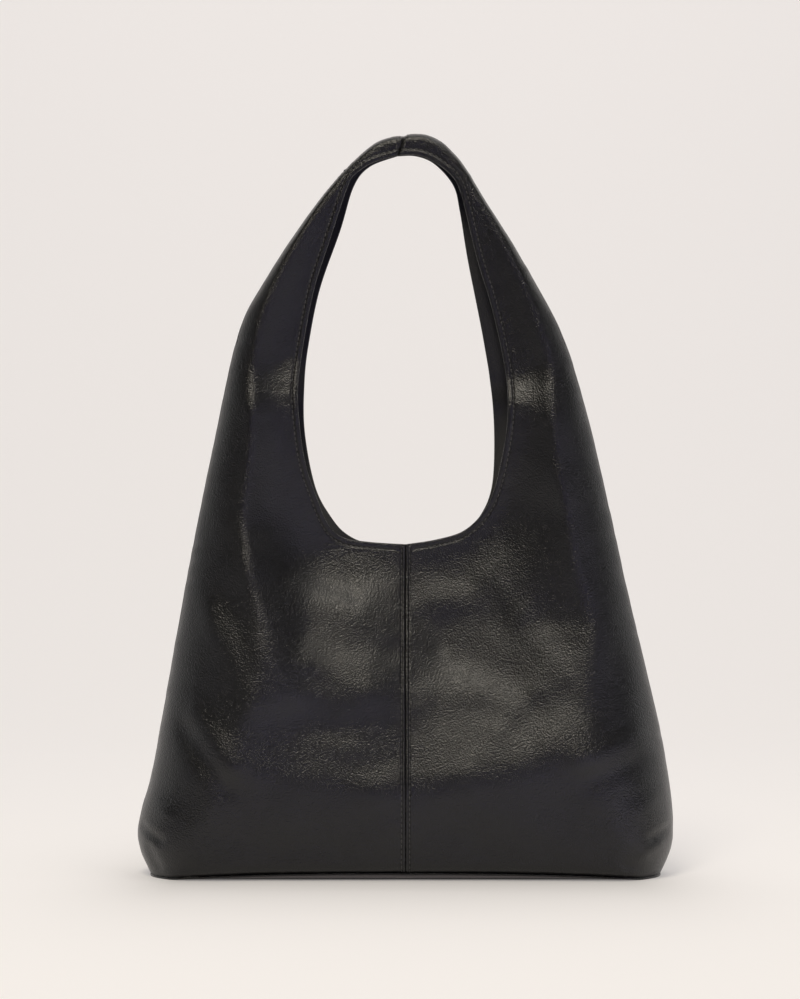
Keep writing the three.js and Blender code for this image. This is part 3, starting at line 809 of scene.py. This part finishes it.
def addDisc(radius, depth, place, bevel, vertices=64, axis="Y"):
    bpy.ops.object.select_all(action="DESELECT")
    turn = {"Y": (math.pi / 2, 0, 0), "X": (0, math.pi / 2, 0)}[axis]
    bpy.ops.mesh.primitive_cylinder_add(vertices=vertices, radius=radius * mm, depth=depth * mm,
                                        location=[v * mm for v in place], rotation=turn)
    disc = bpy.context.object
    bpy.ops.object.transform_apply(location=True, rotation=True, scale=True)
    softenEdges(disc, bevel)
    return disc


def softenEdges(piece, width):
    selectOnly(piece)
    if width:
        soften = piece.modifiers.new("soften", "BEVEL")
        soften.width = width * mm
        soften.segments = 3
        soften.limit_method = "ANGLE"
        bpy.ops.object.modifier_apply(modifier=soften.name)
    bpy.ops.object.shade_smooth_by_angle(angle=math.radians(35))


def cutHole(piece, tool):
    selectOnly(piece)
    hole = piece.modifiers.new("hole", "BOOLEAN")
    hole.operation = "DIFFERENCE"
    hole.solver = "EXACT"
    hole.object = tool
    bpy.ops.object.modifier_apply(modifier=hole.name)
    bpy.data.objects.remove(tool)


def joined(name, pieces, place=None):
    bpy.ops.object.select_all(action="DESELECT")
    for piece in pieces:
        piece.select_set(True)
    bpy.context.view_layer.objects.active = pieces[0]
    if len(pieces) > 1:
        bpy.ops.object.join()
    made = bpy.context.view_layer.objects.active
    if place is not None:
        toMetres = Matrix.Scale(mm, 4) @ place @ Matrix.Scale(1 / mm, 4)
        made.data.transform(toMetres)
    made.name = name
    made.data.name = name
    return made


snap = {
    "height": bag["snapHeight"],
    "radius": 9,
    "socketDepth": 2.2,
    "studDepth": 2.1,
    "well": 2.9,
    "lip": 5.2,
    "boss": 2.4,
    "washer": (8, 0.8, 5.0),  # radius, thickness, distance from the middle
    "washerHole": 2,
}


def makeSnap():
    z = snap["height"]
    socket = addDisc(snap["radius"], snap["socketDepth"], (0, -1.5, z), 0.5)
    lip = addDisc(snap["lip"], 0.35, (0, -0.25, z), 0.12)
    for holed in (lip, socket):
        cutHole(holed, addDisc(snap["well"], 3, (0, 0.2, z), 0))
    finish(joined("snap_socket_disc", [socket, lip]), "metal", "snap_socket", body="root")
    stud = addDisc(snap["radius"], snap["studDepth"], (0, 1.6, z), 0.5)
    boss = addDisc(snap["boss"], 1.1, (0, -0.05, z), 0.2)
    finish(joined("snap_stud_disc", [stud, boss]), "metal", "snap_stud", body="root")
    for side, turn in (("front", -1), ("back", 1)):
        radius, thickness, away = snap["washer"]
        washer = addDisc(radius, thickness, (0, turn * away, z), 0.15)
        cutHole(washer, addDisc(snap["washerHole"], 4, (0, turn * away, z), 0, 32))
        finish(joined(f"snap_{side}_backing", [washer]), "metal", f"snap_{side}_washer", body="root")


makeSnap()

zipper = {
    "halfLength": 74,
    "coilPitch": 1.3,
    "coilRadius": 0.6375,
    "coilPlace": 1.95,      # either side of the middle of the zip
    "wire": 0.28,
    "tape": (152, 0.5, 11),
    "tapePlace": 8.5,
    "depth": 1.45,          # behind the slit in the lining
}


def makeTape(name, node, turn):
    tape = addBlock(zipper["tape"], (0, zipper["depth"], turn * zipper["tapePlace"]), 0.1)
    coilStart = (-zipper["halfLength"], zipper["depth"], turn * zipper["coilPlace"])
    bpy.ops.object.select_all(action="DESELECT")
    bpy.ops.mesh.primitive_torus_add(
        major_segments=12, minor_segments=5, major_radius=zipper["coilRadius"] * mm,
        minor_radius=zipper["wire"] * mm, location=[v * mm for v in coilStart], rotation=(0, math.pi / 2, 0))
    coil = bpy.context.object
    bpy.ops.object.transform_apply(location=True, rotation=True, scale=True)
    bpy.ops.object.shade_smooth()
    repeat = coil.modifiers.new("repeat", "ARRAY")
    repeat.count = int(2 * zipper["halfLength"] / zipper["coilPitch"])
    repeat.use_relative_offset = False
    repeat.use_constant_offset = True
    repeat.constant_offset_displace = (zipper["coilPitch"] * mm, 0, 0)
    bpy.ops.object.modifier_apply(modifier=repeat.name)
    made = joined(name, [tape, coil], zipPlace)
    keepRest(made.data)
    finish(made, "zip_tape", node, body="root")


makeTape("upper_zip_tape", "zip_upper_tape", 1)
makeTape("lower_zip_tape", "zip_lower_tape", -1)


weltSizes = {"outside": (168, 1.2, 26), "window": (152, 4, 10), "place": (0, -1.0, 0), "edge": 0.35}


def makeWelt():
    welt = addBlock(weltSizes["outside"], weltSizes["place"], weltSizes["edge"])
    cutHole(welt, addBlock(weltSizes["window"], weltSizes["place"], 0))
    made = joined("zip_welt_leather", [welt], zipPlace)
    keepRest(made.data)
    finish(made, "facing_leather", "zip_welt", body="root")


makeWelt()


sliderSizes = {"x": 62, "plate": (10, 0.9, 8), "backPlate": (10, 0.85, 8), "bar": (0.5, 6.6), "legs": 2.9}


def makeZipParts():
    for side, turn in (("left", -1), ("right", 1)):
        stop = addBlock((1.5, 2.0, 5.0), (turn * 75.2, zipper["depth"], 0), 0.3)
        finish(joined(f"zip_{side}_end", [stop], zipPlace), "metal", f"zip_{side}_stop", body="root")
    x = sliderSizes["x"]
    plates = [
        addBlock(sliderSizes["backPlate"], (x, 3.17, 0), 0.25),
        addBlock(sliderSizes["plate"], (x, -0.3, 0), 0.3),
        addBlock((1.6, 3.4, 1.2), (x + 3.6, 1.4, 0), 0.2),
    ]
    legs = [addBlock((1.0, 3.9, 1.6), (x + turn * sliderSizes["legs"], -2.4, 0), 0.25) for turn in (-1, 1)]
    barRadius, barLength = sliderSizes["bar"]
    bar = addDisc(barRadius, barLength, (x, -3.9, 0), 0.1, 24, "X")
    slider = joined("zip_slider_body", plates + legs + [bar], zipPlace)
    finish(slider, "metal", "zip_slider", body="zip_slider")


makeZipParts()

pull = {"bar": (62, 12.52, 164.07), "wire": 1.2, "width": 9.2, "drop": 9.6, "rim": 1.2, "hang": 2.6}


def makePull():
    x, y, z = pull["bar"]
    middle = (x, y, z - pull["hang"])
    loop = addBlock((pull["wire"], pull["width"], pull["drop"]), middle, 0.25)
    opening = (4, pull["width"] - 2 * pull["rim"], pull["drop"] - 2 * pull["rim"])
    cutHole(loop, addBlock(opening, middle, 0))
    stirrup = joined("pull_stirrup", [loop])
    finish(stirrup, "metal", "zip_pull_stirrup", body="zip_pull")
    low, high = [np.array(corner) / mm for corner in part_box("zip_pull_tab")]
    middle, size = (low + high) / 2, high - low
    tab = addBlock(tuple(size - 0.04), tuple(middle), 0.9)
    slot = addBlock((pull["wire"] + 0.3, 20, 2.2), (x, y, z - 6.8), 0)
    cutHole(tab, slot)
    made = joined("pull_tab", [tab])
    keepRest(made.data)
    finish(made, "facing_leather", "zip_pull_tab", body="zip_pull")


makePull()
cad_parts["base_board"].data.materials.clear()
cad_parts["base_board"].data.materials.append(materials["base_board"])
print("hard pieces made")

camera = bpy.data.objects.new("camera", bpy.data.cameras.new("camera"))
scene.collection.objects.link(camera)
camera.location = (-0.0041, -2.6, 0.2804)
camera.rotation_euler = (math.pi / 2, 0, 0)
camera.data.lens = 125
camera.data.sensor_width = 36
scene.camera = camera


def makeStage():
    floor = {"halfWidth": 3.0, "near": -0.8, "bend": 1.2, "radius": 1.0, "high": 3.6}
    shadeSizes = {"halfWidth": 0.165, "halfDepth": 0.03, "sideways": 3.5, "strength": 0.62, "fade": -9.0}
    profile = [(floor["near"], 0), (floor["bend"], 0)]
    radius = floor["radius"]
    for k in range(1, 17):
        angle = math.pi / 2 * k / 16
        profile.append((floor["bend"] + radius * math.sin(angle), radius * (1 - math.cos(angle))))
    profile.append((floor["bend"] + radius, floor["high"]))
    points = [(side * floor["halfWidth"] / mm, y / mm, z / mm) for side in (-1, 1) for y, z in profile]
    count = len(profile)
    faces = [(k, k + count, k + count + 1, k + 1) for k in range(count - 1)]
    sweep = meshFrom("paper_sweep", points, faces)
    material, shader, wire = newMaterial("pale paper", (0.38, 0.37, 0.362), 0.9, Specular_IOR_Level=0.1)
    # a soft shade on the floor round the foot of the bag
    place = wire.node("ShaderNodeSeparateXYZ", {0: wire.node("ShaderNodeTexCoord", output=3)})
    x, y = place, Wire(place.tree, place.socket.node.outputs[1])
    besideX = x.maths("MAXIMUM", x.maths("ABSOLUTE", x) - shadeSizes["halfWidth"], 0.0)
    besideY = y.maths("MAXIMUM", y.maths("ABSOLUTE", y) - shadeSizes["halfDepth"], 0.0)
    away = ((besideX * shadeSizes["sideways"]) ** 2.0 + besideY ** 2.0) ** 0.5
    shade = 1.0 - shadeSizes["strength"] * away.maths("EXPONENT", away * shadeSizes["fade"])
    glow = wire.node("ShaderNodeVectorMath", {0: (0.83, 0.79, 0.765), "Scale": shade}, operation="SCALE")
    connect(glow, shader.inputs["Emission Color"])
    shader.inputs["Emission Strength"].default_value = 0.66
    sweep.data.materials.append(material)


def areaLight(name, place, aim, size, power, colour=(1, 1, 1)):
    light = bpy.data.lights.new(name, "AREA")
    light.shape = "ELLIPSE"
    light.size, light.size_y = size
    light.energy = power
    light.color = colour
    lamp = bpy.data.objects.new(name, light)
    scene.collection.objects.link(lamp)
    lamp.location = place
    lamp.rotation_euler = (Vector(aim) - Vector(place)).to_track_quat("-Z", "Y").to_euler()


makeStage()
areaLight("top softbox", (-0.35, -1.35, 2.1), (0, 0, 0.15), (0.7, 1.0), 35, (1, 0.93, 0.8))
areaLight("overhead", (0.5, -0.2, 1.7), (0, 0, 0.5), (0.9, 0.7), 6, (1, 0.97, 0.94))
areaLight("right fill", (1.9, -1.9, 0.3), (0, 0, 0.1), (1.4, 0.5), 8, (0.82, 0.78, 1))
areaLight("left fill", (-2.0, -1.0, 0.2), (0, 0, 0.05), (0.8, 0.4), 1.4, (0.84, 0.82, 1))
areaLight("front fill", (0.3, -2.9, -0.1), (0, 0, 0.05), (1.8, 0.4), 6.5, (0.55, 0.5, 1))
areaLight("left side", (-1.9, 0.6, 0.7), (0, 0, 0.25), (0.5, 1.2), 3)
areaLight("right side", (1.9, 0.6, 0.7), (0, 0, 0.25), (0.5, 1.2), 3.6)
areaLight("backdrop light", (0, 0.9, 2.4), (0, 2.1, 1.0), (2.4, 0.4), 14, (1, 0.98, 0.97))
world = bpy.data.worlds.new("studio")
scene.world = world
world.use_nodes = True
world.node_tree.nodes["Background"].inputs["Color"].default_value = (0.9, 0.88, 0.86, 1)
world.node_tree.nodes["Background"].inputs["Strength"].default_value = 0.008
print("stage ready")
